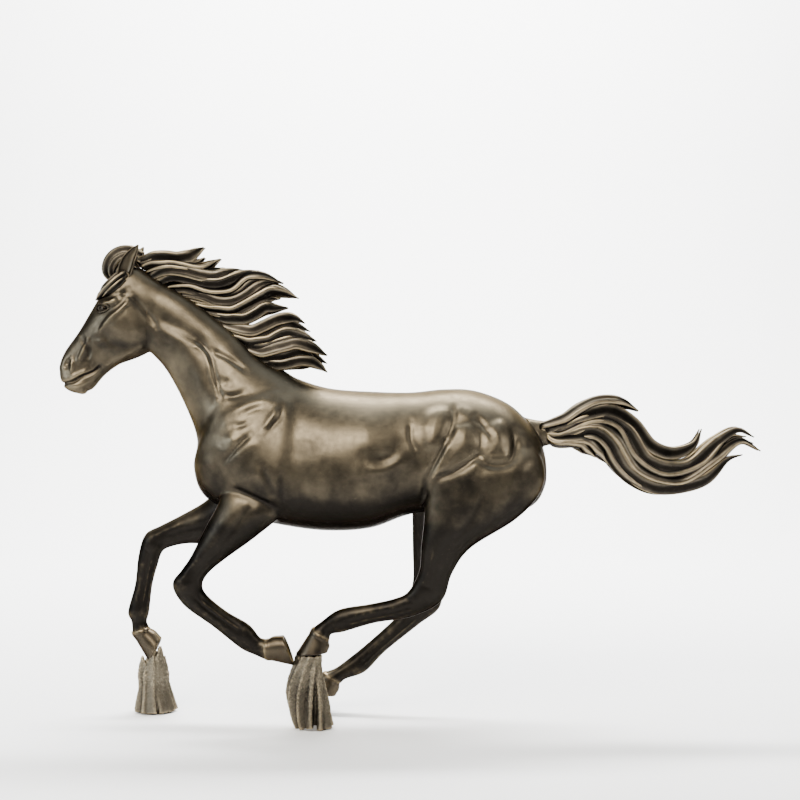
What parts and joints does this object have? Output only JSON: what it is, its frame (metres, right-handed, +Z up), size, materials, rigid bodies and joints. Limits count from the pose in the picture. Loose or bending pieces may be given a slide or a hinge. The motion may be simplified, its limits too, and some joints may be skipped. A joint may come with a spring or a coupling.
{
  "type": "galloping horse statue",
  "caption": "Life-size galloping horse in cast bronze sections over a steel armature, standing on two tufted supports that bolt to the ground.",
  "frame": {"origin": "centre of the whole statue's footprint box, on the ground plane under the two supports", "axes": "+X from head to tail along the body, so the horse gallops towards -X; +Y towards the horse's right side; +Z up"},
  "size_m": [3.1505, 0.5758, 2.1369],
  "materials": {
    "bronze_skin": "dark brown patinated bronze, satin, rubbed to tan gold on the high muscles, near black in the creases",
    "bronze_hair": "dark brown patinated bronze with deep near-black grooves and grainy gold ridges",
    "bronze_eye": "smooth darker bronze, slightly glossier than the skin",
    "bronze_support": "rough grainy bronze, greyer and drier than the skin",
    "bronze_inner": "bare cast bronze inside the hollow body, no patina",
    "armature_steel": "plain stainless bar, tube and plate with dull mill finish"
  },
  "bodies": {
    "root": {"forehand": "bronze_skin", "barrel": "bronze_skin", "hindquarters": "bronze_skin", "neck": "bronze_skin", "head": "bronze_skin", "ear_left": "bronze_skin", "ear_right": "bronze_skin", "left_fore_upper": "bronze_skin", "left_fore_cannon": "bronze_skin", "left_fore_hoof": "bronze_skin", "right_fore_upper": "bronze_skin", "right_fore_cannon": "bronze_skin", "right_fore_hoof": "bronze_skin", "left_hind_upper": "bronze_skin", "left_hind_cannon": "bronze_skin", "left_hind_hoof": "bronze_skin", "right_hind_upper": "bronze_skin", "right_hind_cannon": "bronze_skin", "right_hind_hoof": "bronze_skin", "forelock": "bronze_hair", "mane_upper": "bronze_hair", "mane_middle": "bronze_hair", "mane_lower": "bronze_hair", "tail_dock": "bronze_hair", "tail_switch": "bronze_hair", "tail_upper_locks": "bronze_hair", "tail_lower_locks": "bronze_hair", "eye_left": "bronze_eye", "eye_right": "bronze_eye", "front_support": "bronze_support", "rear_support": "bronze_support", "girth_sleeve": "bronze_inner", "loin_sleeve": "bronze_inner", "neck_sleeve": "bronze_inner", "poll_sleeve": "bronze_inner", "spine_tube": "armature_steel", "shoulder_bar": "armature_steel", "hip_bar": "armature_steel", "neck_post": "armature_steel", "tail_spigot": "armature_steel", "barrel_struts": "armature_steel", "fore_rod": "armature_steel", "hind_rod": "armature_steel", "front_anchor": "armature_steel", "rear_anchor": "armature_steel"}
  },
  "joints": []
}
